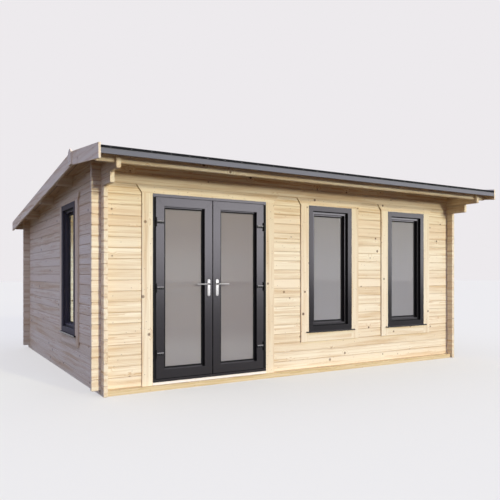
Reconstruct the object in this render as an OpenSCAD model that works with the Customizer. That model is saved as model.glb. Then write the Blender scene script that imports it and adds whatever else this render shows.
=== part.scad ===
// Garden office pod: a cabin of interlocking logs under a low two-slope roof,
// with a pair of glazed doors, two tall front windows and one in the left wall.
// +X runs along the front, +Y to the back, +Z up; the origin is on the ground,
// under the middle of the roof. Millimetres.

/* [Plan] */
// Width over the outer faces of the two side walls
house_w = 5314; // [5000:2:6000]
// Depth over the outer faces of the front and back walls
house_d = 4322; // [3800:2:4800]

/* [Logs] */
// Thickness of a wall log
log_t = 44; // [36:1:56]
// Height of one course of logs
log_h = 114; // [106:1:122]
// Length of log that runs on past a crossing wall
log_stub = 98; // [60:1:140]
// Depth of the chamfer along the edges and ends of a log
log_chamfer = 6; // [3:0.5:9]

/* [Base] */
// Height of the bearers that the front and back walls stand on
bearer_h = 55; // [40:1:80]
// Width of a bearer along a side wall
side_bearer_w = 95; // [70:1:120]
// How far the front and back bearers stand out from the wall
bearer_step = 68; // [30:1:90]
// Width of the front and back bearers
cross_bearer_w = 140; // [130:1:200]
// Thickness of the floor boards
floor_t = 20; // [15:1:28]
// Thickness of a floor joist
joist_t = 44; // [36:1:60]
// Number of joists between the side bearers
joist_count = 7; // [5:1:9]

/* [Openings] */
// Whole courses below the top of the lintel boards
head_course_count = 19; // [18:1:19]
// Whole courses below a window
sill_course_count = 4; // [2:1:8]
// Height of a lintel board
lintel_h = 88; // [70:1:100]
// Width of the doorway
door_w = 1448; // [1300:2:1600]
// Width of a window
window_w = 710; // [600:2:800]
// Shift of the doorway to the right of its place in an even row of openings
door_shift = -53.5; // [-70:0.5:0]
// Shift of the window next to the doors
near_window_shift = -15; // [-40:0.5:20]
// Shift of the other front window
far_window_shift = 39.5; // [0:0.5:60]
// Middle of the side window, back from the front wall's face
side_window_y = 1385; // [1000:5:2400]

/* [Surrounds] */
// Width of the boards beside an opening
surround_w = 120; // [80:1:140]
// Thickness of the boards round an opening
surround_t = 20; // [14:1:23]
// Length of the slanted end of a lintel board
lintel_ear = 61; // [30:1:80]

/* [Frames] */
// How far the door and window frames stand out from the wall
frame_proud = 24; // [23:1:40]
// Depth of the door and window frames
frame_depth = 94; // [86:1:110]
// Face of a window frame
frame_face = 66; // [50:1:80]
// Face of a sash
sash_face = 34; // [24:1:45]
// Step from the face of a frame back to its sash
sash_step = 32; // [20:1:40]
// Width of a glazing bead
bead_w = 16; // [8:1:22]
// Step from the face of a sash back to its glazing bead
bead_step = 34; // [20:1:38]
// Thickness of the glass
glass_t = 8; // [6:0.5:12]
// Depth of the glass behind the face of its bead
glass_step = 8; // [4:0.5:9]
// Thickness of a window sill
sill_t = 15; // [10:1:22]
// How far a sill stands out from its frame
sill_nose = 22; // [10:1:40]
// How far a sill runs on past its frame at each end
sill_ear = 42; // [20:1:60]

/* [Doors] */
// Height of the threshold under the door frame
threshold_h = 29; // [26:1:45]
// Face of the door frame
jamb_face = 30; // [28:1:50]
// Stop that the doors close against
stop_w = 14; // [10:1:20]
// Thickness of the stop
stop_t = 16; // [12:1:20]
// Clearance between a door and its frame
door_gap = 6; // [5:0.5:8]
// Clearance between the two doors
meeting_gap = 12; // [10.5:0.5:16]
// Face of a door's stiles and rails
stile_w = 95; // [80:1:120]
// Face of the glazing bead in a door
door_bead_w = 11; // [6:1:20]
// Step from the face of a door back to its glazing bead
door_bead_step = 36; // [20:1:40]

/* [Hinges] */
// Diameter of a hinge barrel
barrel_d = 20; // [16:1:24]
// Diameter of a hinge pin
pin_d = 8; // [6:1:10]
// Height of a hinge
hinge_h = 96; // [75:1:120]
// Distance of the outer hinges from the ends of a door
hinge_end = 270; // [200:5:340]
// Distance from the end of a hinge plate to the inner edge of its door's stile
flag_inset = 6; // [2:1:40]
// Width of a hinge plate on the frame
strap_w = 18; // [14:1:20]
// Thickness of the hinge plates
hinge_plate_t = 5; // [3:0.5:7]
// Clearance in a hinge
hinge_gap = 0.3; // [0.2:0.05:0.6]

/* [Handles] */
// Height of the levers above the ground
lever_z = 1146; // [1000:2:1250]
// Width of a handle plate
plate_w = 38; // [30:1:46]
// Height of a handle plate
plate_h = 196; // [160:2:240]
// Thickness of a handle plate
plate_t = 9; // [6:0.5:12]
// Drop from a lever to the middle of its plate
plate_drop = 42; // [20:1:60]
// Diameter of a lever
lever_d = 18; // [14:1:22]
// Length of a lever from its spindle
lever_len = 150; // [110:2:180]
// Distance from the door's face to the middle of its lever
lever_reach = 52; // [40:1:70]

/* [Roof] */
// Slope of the front of the roof
front_pitch = 6; // [4:0.1:8]
// Slope of the back of the roof
back_pitch = 5.6; // [4:0.1:7]
// Distance of the ridge behind the front wall's face
ridge_y = 430; // [300:5:700]
// How far the roof runs on past the front wall
front_over = 645; // [610:5:720]
// How far the roof runs on past the back wall
back_over = 440; // [400:5:560]
// How far the roof runs on past a side wall
side_over = 206; // [160:1:260]
// Thickness of the roof boards
roof_board_t = 20; // [16:1:26]
// Clearance under and over the roof boards
bed_gap = 0.1; // [0.05:0.05:0.3]
// Thickness of the felt covering
felt_t = 8; // [5:0.5:12]
// Height of the felt's turned-down edge
felt_lip_h = 21; // [15:1:30]
// Thickness of the felt's turned-down edge
felt_lip_t = 4; // [3:0.5:6]
// Height of a fascia below the felt
fascia_h = 64; // [50:1:90]
// Thickness of a fascia
fascia_t = 20; // [16:1:26]
// Height of a barge board
barge_h = 146; // [120:1:180]
// Thickness of a barge board
barge_t = 22; // [16:1:30]
// How far the barge boards rise above the felt
barge_rise = 23; // [10:1:40]
// Width of the cover over the joint of two barge boards
apex_w = 124; // [60:1:160]
// Thickness of that cover
apex_t = 16; // [10:1:22]
// Height of its point above the barge boards
apex_rise = 34; // [20:1:50]

/* [Roof timbers] */
// Whole courses below the eaves beams' seats at the front
beam_course_count = 20; // [20:1:20]
// Height of an eaves beam
beam_h = 103; // [90:1:120]
// Distance of the front eaves beam from the front wall's face
front_beam_y = 480; // [430:5:520]
// Distance of the back eaves beam from the back wall's face
back_beam_y = 204; // [190:2:240]
// Length of corbel log beyond an eaves beam
corbel_stub = 45; // [30:1:60]
// Step from the upper corbel log back to the lower one at the front
front_corbel_step = 208; // [150:2:260]
// Step from the upper corbel log back to the lower one at the back
back_corbel_step = 97; // [60:1:120]
// Height of a purlin
purlin_h = 120; // [90:1:150]
// Distance of the first purlin from the front wall's face
purlin_start = 1226; // [1000:2:1300]
// Distance between purlins
purlin_spacing = 1100; // [900:5:1150]
// Number of purlins
purlin_count = 3; // [1:1:3]

/* [Hidden] */

// A cut or solid that has to reach past its neighbour does so by this much
past = 400;
// Finish of round pieces
$fn = 48;

// Half widths, and the front wall's face with the roof centred on the origin
half_w = house_w / 2;
front_y = (front_over - house_d - back_over) / 2;
roof_half = half_w + side_over - barge_t;

// Joints between courses: the side walls lie half a course higher than the others
function front_joint(k) = bearer_h + k * log_h;
function side_joint(k) = bearer_h + log_h / 2 + k * log_h;

// Roof planes, by distance behind the front wall's face
front_slope = tan(front_pitch);
back_slope = tan(back_pitch);
ridge_under = front_joint(beam_course_count) + beam_h + (front_beam_y + ridge_y) * front_slope;
function under(y) = ridge_under - max((ridge_y - y) * front_slope, (y - ridge_y) * back_slope);
board_rise = roof_board_t / cos(front_pitch);
felt_rise = felt_t / cos(front_pitch);
function seat(y) = under(y) - bed_gap;
function deck(y) = under(y) + board_rise;
function felt_top(y) = deck(y) + felt_rise;
function barge_top(y) = felt_top(y) + barge_rise;
roof_front = -front_over;
roof_back = house_d + back_over;

// Eaves beams and the corbel courses that carry them
back_beam_face = house_d + back_beam_y;
front_beam_z = front_joint(beam_course_count);
back_beam_z = under(back_beam_face + log_t) - beam_h;
function course_at(z) = floor((z - side_joint(0)) / log_h);
front_corbel = course_at(front_beam_z);
back_corbel = course_at(back_beam_z);
front_corbel_end = -front_beam_y - corbel_stub;
back_corbel_end = back_beam_face + log_t + corbel_stub;
purlin_rows = [for (i = [0 : purlin_count - 1]) purlin_start + i * purlin_spacing];

// Courses that reach the highest point of the roof
courses = ceil((ridge_under - bearer_h) / log_h) + 1;

// Heights of the openings
head_z = front_joint(head_course_count) - lintel_h;
sill_z = front_joint(sill_course_count);
apron_h = log_h;
window_h = head_z - sill_z - sill_t;
lintel_z = head_z + lintel_h;

// Openings in the front wall: a doorway and two windows in a row, with four piers
pier_w = (house_w - door_w - 2 * window_w) / 4;
door_x = -half_w + pier_w + door_w / 2 + door_shift;
near_window_x = half_w - 2 * pier_w - 1.5 * window_w + near_window_shift;
far_window_x = half_w - pier_w - window_w / 2 + far_window_shift;
front_windows = [near_window_x, far_window_x];
door_left = door_x - door_w / 2;
door_right = door_x + door_w / 2;
side_front = side_window_y - window_w / 2;
side_back = side_window_y + window_w / 2;

// Door sizes: the leaves fill the frame, less their clearances
frame_z = bearer_h + threshold_h;
frame_h = head_z - frame_z;
leaf_z = frame_z + jamb_face + door_gap;
leaf_h = frame_h - 2 * jamb_face - 2 * door_gap;
leaf_w = (door_w - 2 * jamb_face - 2 * door_gap - meeting_gap) / 2;
leaf_t = frame_depth - stop_t - door_gap;
axis_x = door_w / 2 - jamb_face - door_gap / 2;
axis_y = -frame_proud - barrel_d / 2;
hinge_rows = [leaf_z + hinge_end, leaf_z + leaf_h / 2, leaf_z + leaf_h - hinge_end];
knuckle_h = hinge_h / 3;
spindle_x = leaf_w + door_gap / 2 - stile_w / 2;
flag_end = door_gap / 2 + stile_w - flag_inset;

// Colours
pine = [0.93, 0.85, 0.72];
treated = [0.88, 0.80, 0.62];
anthracite = [0.17, 0.17, 0.18];
felt_black = [0.08, 0.08, 0.09];
fascia_grey = [0.45, 0.45, 0.44];
grey_glass = [0.55, 0.55, 0.56, 0.6];
steel = [0.85, 0.85, 0.86];

// Places its children in front of the origin, with y counted from the front wall's face
module at_front() {
  translate([0, front_y, 0]) children();
}

// Stands a drawing of width and height up, facing the front, with its thickness to the back
module facing_front(thickness) {
  translate([0, thickness, 0]) rotate([90, 0, 0]) linear_extrude(thickness) children();
}

// Stands a drawing of depth and height up, with its thickness along +X
module facing_side(thickness) {
  rotate([90, 0, 90]) linear_extrude(thickness) children();
}

// Turns a piece made for the front wall to the left wall, at the side window
module at_side_window() {
  translate([-half_w, side_window_y, 0]) rotate([0, 0, -90]) children();
}

// One end of a stack of logs, from the bottom up: each log ends at its own length,
// and its end is chamfered above and below
function stack_end(ends, joints, way) = [
  for (j = [0 : len(ends) - 1])
    each concat(
      j == 0 || ends[j] != ends[max(j - 1, 0)] ? [[ends[j] - way * log_chamfer, joints[j]]] : [],
      [[ends[j], joints[j] + log_chamfer],
       [ends[j], joints[j + 1] - log_chamfer],
       [ends[j] - way * log_chamfer, joints[j + 1]]])
];

// The same points, listed from the top down
function from_the_top(points) = [for (i = [len(points) - 1 : -1 : 0]) points[i]];

// Cross-section of a stack of logs, with a V where two logs meet
module log_section(joints) {
  last = len(joints) - 1;
  outer = [for (j = [0 : last - 1])
             each [[log_chamfer, joints[j]],
                   [0, joints[j] + log_chamfer],
                   [0, joints[j + 1] - log_chamfer]]];
  inner = [for (j = [last : -1 : 1])
             each [[log_t - log_chamfer, joints[j]],
                   [log_t, joints[j] - log_chamfer],
                   [log_t, joints[j - 1] + log_chamfer]]];
  polygon(concat(outer, [[log_chamfer, joints[last]]], inner, [[log_t - log_chamfer, joints[0]]]));
}

// Height that crossing logs leave free where two walls cross: half a log,
// so that each log is notched by a quarter of its height above and below
module lap_cuts(joints) {
  for (z = joints)
    translate([0, z - log_h / 4]) square([log_t, log_h / 2]);
}

// Logs along the front or back wall, between two heights and two places
front_joints = [for (k = [0 : courses]) front_joint(k)];
right_ends = [for (k = [0 : courses - 1]) half_w + log_stub];
left_ends = [for (k = [0 : courses - 1]) -half_w - log_stub];

module cross_logs(left, right, low, high, face_y) {
  intersection() {
    translate([-half_w - past, face_y, 0]) facing_side(house_w + 2 * past) {
      intersection() {
        log_section(front_joints);
        polygon([[0, 0], [log_t, 0], [log_t, seat(face_y + log_t)], [0, seat(face_y)]]);
      }
    }
    translate([0, face_y, 0]) facing_front(log_t) difference() {
      intersection() {
        polygon(concat(stack_end(right_ends, front_joints, 1),
                       from_the_top(stack_end(left_ends, front_joints, -1))));
        translate([left, low]) square([right - left, high - low]);
      }
      for (x = [-half_w, half_w - log_t])
        translate([x, 0]) lap_cuts(front_joints);
    }
  }
}

// Logs along a side wall. The first course stands on the ground, the upper courses run out
// as corbels, and the roof, the eaves beams and the purlins cut the top.
side_joints = concat([0], [for (k = [0 : courses]) side_joint(k)]);
side_front_ends = [for (k = [-1 : courses - 1])
  k >= front_corbel ? front_corbel_end
  : k == front_corbel - 1 ? front_corbel_end + front_corbel_step : -log_stub];
side_back_ends = [for (k = [-1 : courses - 1])
  k >= back_corbel ? back_corbel_end
  : k == back_corbel - 1 ? back_corbel_end - back_corbel_step : house_d + log_stub];

module under_roof() {
  polygon([[roof_front, 0], [roof_back, 0], [roof_back, seat(roof_back)],
           [ridge_y, seat(ridge_y)], [roof_front, seat(roof_front)]]);
}

module roof_timber_cuts() {
  translate([-front_beam_y, front_beam_z]) square([log_t, past]);
  translate([back_beam_face, back_beam_z]) square([log_t, past]);
  for (y = purlin_rows)
    translate([y, purlin_z(y)]) square([log_t, past]);
}

module side_logs(front, back, low, high, face_x) {
  intersection() {
    translate([face_x, roof_back, 0]) rotate([90, 0, 0])
      linear_extrude(roof_back - roof_front) log_section(side_joints);
    translate([face_x, 0, 0]) facing_side(log_t) difference() {
      intersection() {
        polygon(concat(stack_end(side_back_ends, side_joints, 1),
                       from_the_top(stack_end(side_front_ends, side_joints, -1))));
        translate([front, low]) square([back - front, high - low]);
        under_roof();
      }
      lap_cuts([for (z = front_joints) z + log_h / 2]);
      translate([house_d - log_t, 0]) lap_cuts([for (z = front_joints) z + log_h / 2]);
      roof_timber_cuts();
    }
  }
}

// Base

// Half the width between the side walls, and the depth between the front and back bearers
inside_half = half_w - log_t;
joist_start = cross_bearer_w - bearer_step;
joist_len = house_d - 2 * joist_start;

module side_bearers() {
  color(treated) at_front()
    for (x = [-inside_half, inside_half - side_bearer_w])
      translate([x, joist_start, 0]) cube([side_bearer_w, joist_len, bearer_h]);
}

module cross_bearers() {
  color(treated) at_front()
    for (y = [-bearer_step, house_d + bearer_step - cross_bearer_w])
      translate([-inside_half, y, 0]) cube([2 * inside_half, cross_bearer_w, bearer_h]);
}

module floor_joists() {
  spacing = 2 * inside_half / (joist_count + 1);
  color(treated) at_front()
    for (i = [1 : joist_count])
      translate([-inside_half + i * spacing - joist_t / 2, joist_start, 0])
        cube([joist_t, joist_len, bearer_h]);
}

module floor() {
  color(pine) at_front()
    translate([-inside_half, log_t, bearer_h])
      cube([2 * inside_half, house_d - 2 * log_t, floor_t]);
}

// Walls

wall_end = half_w + log_stub;
wall_top = ridge_under;

module front_wall_left_pier() {
  color(pine) at_front() cross_logs(-wall_end, door_left, bearer_h, lintel_z, 0);
}

module front_wall_middle_pier() {
  color(pine) at_front()
    cross_logs(door_right, near_window_x - window_w / 2, sill_z, lintel_z, 0);
}

module front_wall_window_pier() {
  color(pine) at_front()
    cross_logs(near_window_x + window_w / 2, far_window_x - window_w / 2, sill_z, lintel_z, 0);
}

module front_wall_right_pier() {
  color(pine) at_front()
    cross_logs(far_window_x + window_w / 2, wall_end, sill_z, lintel_z, 0);
}

module front_wall_lower_logs() {
  color(pine) at_front() cross_logs(door_right, wall_end, bearer_h, sill_z, 0);
}

module front_wall_head_logs() {
  color(pine) at_front() {
    cross_logs(door_left, door_right, head_z, lintel_z, 0);
    for (x = front_windows)
      cross_logs(x - window_w / 2, x + window_w / 2, head_z, lintel_z, 0);
  }
}

module front_wall_top_logs() {
  color(pine) at_front() cross_logs(-wall_end, wall_end, lintel_z, wall_top, 0);
}

module back_wall() {
  color(pine) at_front()
    cross_logs(-wall_end, wall_end, bearer_h, wall_top, house_d - log_t);
}

module left_wall_front_part() {
  color(pine) at_front() side_logs(roof_front, side_front, 0, wall_top, -half_w);
}

module left_wall_back_part() {
  color(pine) at_front() side_logs(side_back, roof_back, 0, wall_top, -half_w);
}

module left_wall_lower_logs() {
  color(pine) at_front()
    side_logs(side_front, side_back, 0, sill_z, -half_w);
}

module left_wall_upper_logs() {
  color(pine) at_front()
    side_logs(side_front, side_back, head_z, wall_top, -half_w);
}

module right_wall() {
  color(pine) at_front() side_logs(roof_front, roof_back, 0, wall_top, half_w - log_t);
}

// Roof timbers

function purlin_z(y) = under(y + log_t) - purlin_h;

// A timber across the house, its top planed to the roof
module roof_timber(y, bottom) {
  translate([-roof_half, 0, 0]) facing_side(2 * roof_half)
    polygon([[y, bottom], [y + log_t, bottom], [y + log_t, seat(y + log_t)], [y, seat(y)]]);
}

module front_eaves_beam() {
  color(pine) at_front() roof_timber(-front_beam_y, front_beam_z);
}

module back_eaves_beam() {
  color(pine) at_front() roof_timber(back_beam_face, back_beam_z);
}

module purlins() {
  color(pine) at_front()
    for (y = purlin_rows)
      roof_timber(y, purlin_z(y));
}

// Roof

front_board_edge = roof_front + felt_lip_t + fascia_t;
back_board_edge = roof_back - felt_lip_t - fascia_t;

module roof_boards(edge) {
  translate([-roof_half, 0, 0]) facing_side(2 * roof_half)
    polygon([[edge, under(edge)], [ridge_y, ridge_under],
             [ridge_y, deck(ridge_y)], [edge, deck(edge)]]);
}

module roof_boards_front() {
  color(pine) at_front() roof_boards(front_board_edge);
}

module roof_boards_back() {
  color(pine) at_front() roof_boards(back_board_edge);
}

// Felt on one slope, turned down over its fascia; way points to the middle of the roof
module felt(edge, way) {
  lip = edge + way * felt_lip_t;
  translate([-roof_half, 0, 0]) facing_side(2 * roof_half)
    polygon([[edge, felt_top(edge)], [ridge_y, felt_top(ridge_y)],
             [ridge_y, deck(ridge_y) + bed_gap], [lip, deck(lip) + bed_gap],
             [lip, felt_top(edge) - felt_lip_h], [edge, felt_top(edge) - felt_lip_h]]);
}

module felt_front() {
  color(felt_black) at_front() felt(roof_front, 1);
}

module felt_back() {
  color(felt_black) at_front() felt(roof_back, -1);
}

module fascia(edge, way) {
  outer = edge + way * felt_lip_t;
  inner = outer + way * fascia_t;
  translate([-roof_half, 0, 0]) facing_side(2 * roof_half)
    polygon([[outer, deck(outer)], [inner, deck(inner)],
             [inner, deck(outer) - fascia_h], [outer, deck(outer) - fascia_h]]);
}

module front_fascia() {
  color(fascia_grey) at_front() fascia(roof_front, 1);
}

module back_fascia() {
  color(fascia_grey) at_front() fascia(roof_back, -1);
}

// A pair of barge boards, left and right, on one slope
module barge_pair(edge) {
  for (x = [-roof_half - barge_t, roof_half])
    translate([x, 0, 0]) facing_side(barge_t)
      polygon([[edge, barge_top(edge)], [ridge_y, barge_top(ridge_y)],
               [ridge_y, barge_top(ridge_y) - barge_h], [edge, barge_top(edge) - barge_h]]);
}

module barge_boards_front() {
  color(pine) at_front() barge_pair(roof_front);
}

module barge_boards_back() {
  color(pine) at_front() barge_pair(roof_back);
}

module apex_covers() {
  top = barge_top(ridge_y);
  color(pine) at_front()
    for (x = [-roof_half - barge_t - apex_t, roof_half + barge_t])
      translate([x, 0, 0]) facing_side(apex_t)
        polygon([[ridge_y - apex_w / 2, top - barge_h], [ridge_y + apex_w / 2, top - barge_h],
                 [ridge_y + apex_w / 2, barge_top(ridge_y + apex_w / 2)], [ridge_y, top + apex_rise],
                 [ridge_y - apex_w / 2, barge_top(ridge_y - apex_w / 2)]]);
}

// Boards round the openings

module side_boards(width, bottom) {
  for (x = [-width / 2 - surround_w, width / 2])
    translate([x, -surround_t, bottom]) cube([surround_w, surround_t, head_z - bottom]);
}

module lintel(width) {
  reach = width / 2 + surround_w;
  translate([0, -surround_t, head_z]) facing_front(surround_t)
    polygon([[-reach, 0], [reach, 0], [reach + lintel_ear, lintel_h],
             [-reach - lintel_ear, lintel_h]]);
}

module door_surround() {
  color(pine) at_front() translate([door_x, 0, 0]) {
    side_boards(door_w, bearer_h);
    lintel(door_w);
  }
}

// Places its children at each of the three windows, with the wall's face at y = 0
module at_windows() {
  for (x = front_windows)
    translate([x, 0, 0]) children();
  at_side_window() children();
}

module window_side_boards() {
  color(pine) at_front() at_windows() side_boards(window_w, sill_z - apron_h);
}

module window_lintels() {
  color(pine) at_front() at_windows() lintel(window_w);
}

module window_aprons() {
  color(pine) at_front() at_windows()
    translate([-window_w / 2, -surround_t, sill_z - apron_h])
      cube([window_w, surround_t, apron_h]);
}

// Windows

// A rectangular ring that stands up, with its front at the given depth
module ring(width, height, face, front, depth) {
  translate([0, front, 0]) facing_front(depth) difference() {
    translate([-width / 2, 0]) square([width, height]);
    translate([-width / 2 + face, face]) square([width - 2 * face, height - 2 * face]);
  }
}

window_z = sill_z + sill_t;
sash_front = -frame_proud + sash_step;
bead_front = sash_front + bead_step;
frame_back = -frame_proud + frame_depth;
sash_w = window_w - 2 * frame_face;
sash_h = window_h - 2 * frame_face;
pane_w = sash_w - 2 * sash_face - 2 * bead_w;
pane_h = sash_h - 2 * sash_face - 2 * bead_w;

module window_frame() {
  translate([0, 0, window_z]) ring(window_w, window_h, frame_face, -frame_proud, frame_depth);
}

// The sash, with its glazing bead set back from its face
module window_sash() {
  translate([0, 0, window_z + frame_face]) {
    ring(sash_w, sash_h, sash_face, sash_front, frame_back - sash_front);
    ring(sash_w, sash_h, sash_face + bead_w, bead_front, frame_back - bead_front);
  }
}

module pane() {
  edge = frame_face + sash_face + bead_w;
  translate([-pane_w / 2, bead_front + glass_step, window_z + edge])
    cube([pane_w, glass_t, pane_h]);
}

module near_window_frame() {
  color(anthracite) at_front() translate([near_window_x, 0, 0]) window_frame();
}

module far_window_frame() {
  color(anthracite) at_front() translate([far_window_x, 0, 0]) window_frame();
}

module side_window_frame() {
  color(anthracite) at_front() at_side_window() window_frame();
}

module near_window_sash() {
  color(anthracite) at_front() translate([near_window_x, 0, 0]) window_sash();
}

module far_window_sash() {
  color(anthracite) at_front() translate([far_window_x, 0, 0]) window_sash();
}

module side_window_sash() {
  color(anthracite) at_front() at_side_window() window_sash();
}

module window_glass() {
  color(grey_glass) at_front() at_windows() pane();
}

// A sill under the frame, with a nose that passes in front of the boards
module sill() {
  nose_w = window_w + 2 * sill_ear;
  nose_y = frame_proud + sill_nose;
  translate([-window_w / 2, -surround_t, sill_z])
    cube([window_w, surround_t + log_t, sill_t]);
  translate([-nose_w / 2, -nose_y, sill_z])
    cube([nose_w, nose_y - surround_t, sill_t]);
}

module window_sills() {
  color(anthracite) at_front() at_windows() sill();
}

// Doors

module threshold() {
  color(pine) at_front() translate([door_left, -surround_t, bearer_h])
    cube([door_w, surround_t + log_t, threshold_h]);
}

module door_frame() {
  color(anthracite) at_front() translate([door_x, 0, frame_z]) {
    ring(door_w, frame_h, jamb_face, -frame_proud, frame_depth);
    ring(door_w, frame_h, jamb_face + stop_w, frame_back - stop_t, stop_t);
  }
}

// Places its children at the left hinges, or mirrored at the right ones
module at_hinge(side) {
  translate([door_x, 0, 0])
    mirror([side > 0 ? 1 : 0, 0, 0]) translate([-axis_x, 0, 0]) children();
}

// Frame half of a hinge: two knuckles on a pin, and the plate on the jamb
module frame_hinge() {
  plate_y = axis_y + barrel_d / 2 - hinge_plate_t;
  plate_end = -barrel_d / 2 - hinge_gap;
  translate([0, axis_y, -hinge_h / 2]) cylinder(h = hinge_h, d = pin_d);
  for (z = [-hinge_h / 2, knuckle_h / 2]) {
    translate([0, axis_y, z]) cylinder(h = knuckle_h, d = barrel_d);
    translate([plate_end, plate_y, z]) cube([-plate_end, hinge_plate_t, knuckle_h]);
  }
  translate([plate_end - strap_w, plate_y, -hinge_h / 2])
    cube([strap_w, hinge_plate_t, hinge_h]);
}

// Door half of a hinge: the middle knuckle round the pin, and the flag on the stile
module door_hinge() {
  flag_h = knuckle_h - 2 * hinge_gap;
  plate_y = axis_y + barrel_d / 2 - hinge_plate_t;
  difference() {
    union() {
      translate([0, axis_y, -flag_h / 2]) cylinder(h = flag_h, d = barrel_d);
      translate([0, plate_y, -flag_h / 2])
        cube([flag_end, hinge_plate_t, flag_h]);
    }
    translate([0, axis_y, -flag_h]) cylinder(h = 2 * flag_h, d = pin_d + 2 * hinge_gap);
  }
}

module frame_hinges() {
  color(anthracite) at_front()
    for (side = [-1, 1])
      at_hinge(side)
        for (z = hinge_rows)
          translate([0, 0, z]) frame_hinge();
}

module leaf() {
  translate([door_gap / 2 + leaf_w / 2, 0, leaf_z]) {
    ring(leaf_w, leaf_h, stile_w, -frame_proud, leaf_t);
    ring(leaf_w, leaf_h, stile_w + door_bead_w, -frame_proud + door_bead_step,
         leaf_t - door_bead_step);
  }
}

module leaf_glass() {
  edge = stile_w + door_bead_w;
  translate([door_gap / 2 + edge, -frame_proud + door_bead_step + glass_step, leaf_z + edge])
    cube([leaf_w - 2 * edge, glass_t, leaf_h - 2 * edge]);
}

module leaf_hinges() {
  for (z = hinge_rows)
    translate([0, 0, z]) door_hinge();
}

// A long plate with round ends
module handle_plate() {
  middle = lever_z - plate_drop;
  straight = plate_h - plate_w;
  translate([spindle_x, -frame_proud, middle]) {
    translate([-plate_w / 2, -plate_t, -straight / 2]) cube([plate_w, plate_t, straight]);
    for (z = [-straight / 2, straight / 2])
      translate([0, 0, z]) rotate([90, 0, 0]) cylinder(h = plate_t, d = plate_w);
  }
}

// A round lever on its spindle, with a round end; it points back to the hinges
module lever() {
  seat = frame_proud + plate_t;
  reach = frame_proud + lever_reach;
  translate([spindle_x, 0, lever_z]) {
    translate([0, -seat - hinge_gap, 0]) rotate([90, 0, 0])
      cylinder(h = reach - seat - hinge_gap, d = lever_d);
    translate([0, -reach, 0]) sphere(d = lever_d);
    translate([0, -reach, 0]) rotate([0, -90, 0]) cylinder(h = lever_len - lever_d / 2, d = lever_d);
    translate([-lever_len + lever_d / 2, -reach, 0]) sphere(d = lever_d);
  }
}

module left_door() {
  color(anthracite) at_front() at_hinge(-1) leaf();
}

module left_door_glass() {
  color(grey_glass) at_front() at_hinge(-1) leaf_glass();
}

module left_door_hinges() {
  color(anthracite) at_front() at_hinge(-1) leaf_hinges();
}

module left_handle_plate() {
  color(steel) at_front() at_hinge(-1) handle_plate();
}

module left_lever() {
  color(steel) at_front() at_hinge(-1) lever();
}

module right_door() {
  color(anthracite) at_front() at_hinge(1) leaf();
}

module right_door_glass() {
  color(grey_glass) at_front() at_hinge(1) leaf_glass();
}

module right_door_hinges() {
  color(anthracite) at_front() at_hinge(1) leaf_hinges();
}

module right_handle_plate() {
  color(steel) at_front() at_hinge(1) handle_plate();
}

module right_lever() {
  color(steel) at_front() at_hinge(1) lever();
}

side_bearers();
cross_bearers();
floor_joists();
floor();
front_wall_left_pier();
front_wall_middle_pier();
front_wall_window_pier();
front_wall_right_pier();
front_wall_lower_logs();
front_wall_head_logs();
front_wall_top_logs();
left_wall_front_part();
left_wall_back_part();
left_wall_lower_logs();
left_wall_upper_logs();
right_wall();
back_wall();
front_eaves_beam();
back_eaves_beam();
purlins();
roof_boards_front();
roof_boards_back();
felt_front();
felt_back();
barge_boards_front();
barge_boards_back();
apex_covers();
front_fascia();
back_fascia();
door_surround();
window_side_boards();
window_lintels();
window_aprons();
threshold();
door_frame();
frame_hinges();
near_window_frame();
far_window_frame();
side_window_frame();
near_window_sash();
far_window_sash();
side_window_sash();
window_sills();
window_glass();
left_door();
left_door_glass();
left_door_hinges();
left_handle_plate();
left_lever();
right_door();
right_door_glass();
right_door_hinges();
right_handle_plate();
right_lever();
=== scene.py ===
# Garden office pod: a cabin of interlocking pine logs with glazed doors and three tall windows.
# Each section dresses one group of its pieces, in the order in which they are put together on site.
import math

import bpy
from mathutils import Matrix, Vector


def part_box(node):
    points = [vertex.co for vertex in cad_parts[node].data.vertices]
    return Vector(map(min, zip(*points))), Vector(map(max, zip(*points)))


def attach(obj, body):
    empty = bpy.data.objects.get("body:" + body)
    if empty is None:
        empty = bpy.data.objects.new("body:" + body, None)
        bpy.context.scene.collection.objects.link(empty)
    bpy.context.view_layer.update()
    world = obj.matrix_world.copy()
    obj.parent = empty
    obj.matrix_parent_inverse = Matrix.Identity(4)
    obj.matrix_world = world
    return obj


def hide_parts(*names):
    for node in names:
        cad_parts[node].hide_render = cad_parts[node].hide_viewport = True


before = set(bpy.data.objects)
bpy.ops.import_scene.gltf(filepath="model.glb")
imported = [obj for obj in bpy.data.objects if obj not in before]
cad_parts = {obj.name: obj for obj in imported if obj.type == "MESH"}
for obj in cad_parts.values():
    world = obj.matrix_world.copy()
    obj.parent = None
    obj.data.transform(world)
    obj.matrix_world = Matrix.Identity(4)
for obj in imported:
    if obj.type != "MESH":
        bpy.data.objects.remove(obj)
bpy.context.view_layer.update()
bpy.ops.object.select_all(action="DESELECT")


# STUDIO
# A pale floor runs out to a pale surround of the same tone, so that the horizon hardly shows.
# Two low, warm lamps stand in front, a little to the right, and the rest is cool light from above.
# A soft box gives the frames their sheen, and a lamp in the room stands for the light in there.

def shade(red, green, blue):
    """A colour given as it looks on a screen, from 0 to 255."""
    def linear(value):
        part = value / 255
        return part / 12.92 if part <= 0.04045 else ((part + 0.055) / 1.055) ** 2.4
    return (linear(red), linear(green), linear(blue), 1.0)


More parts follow.
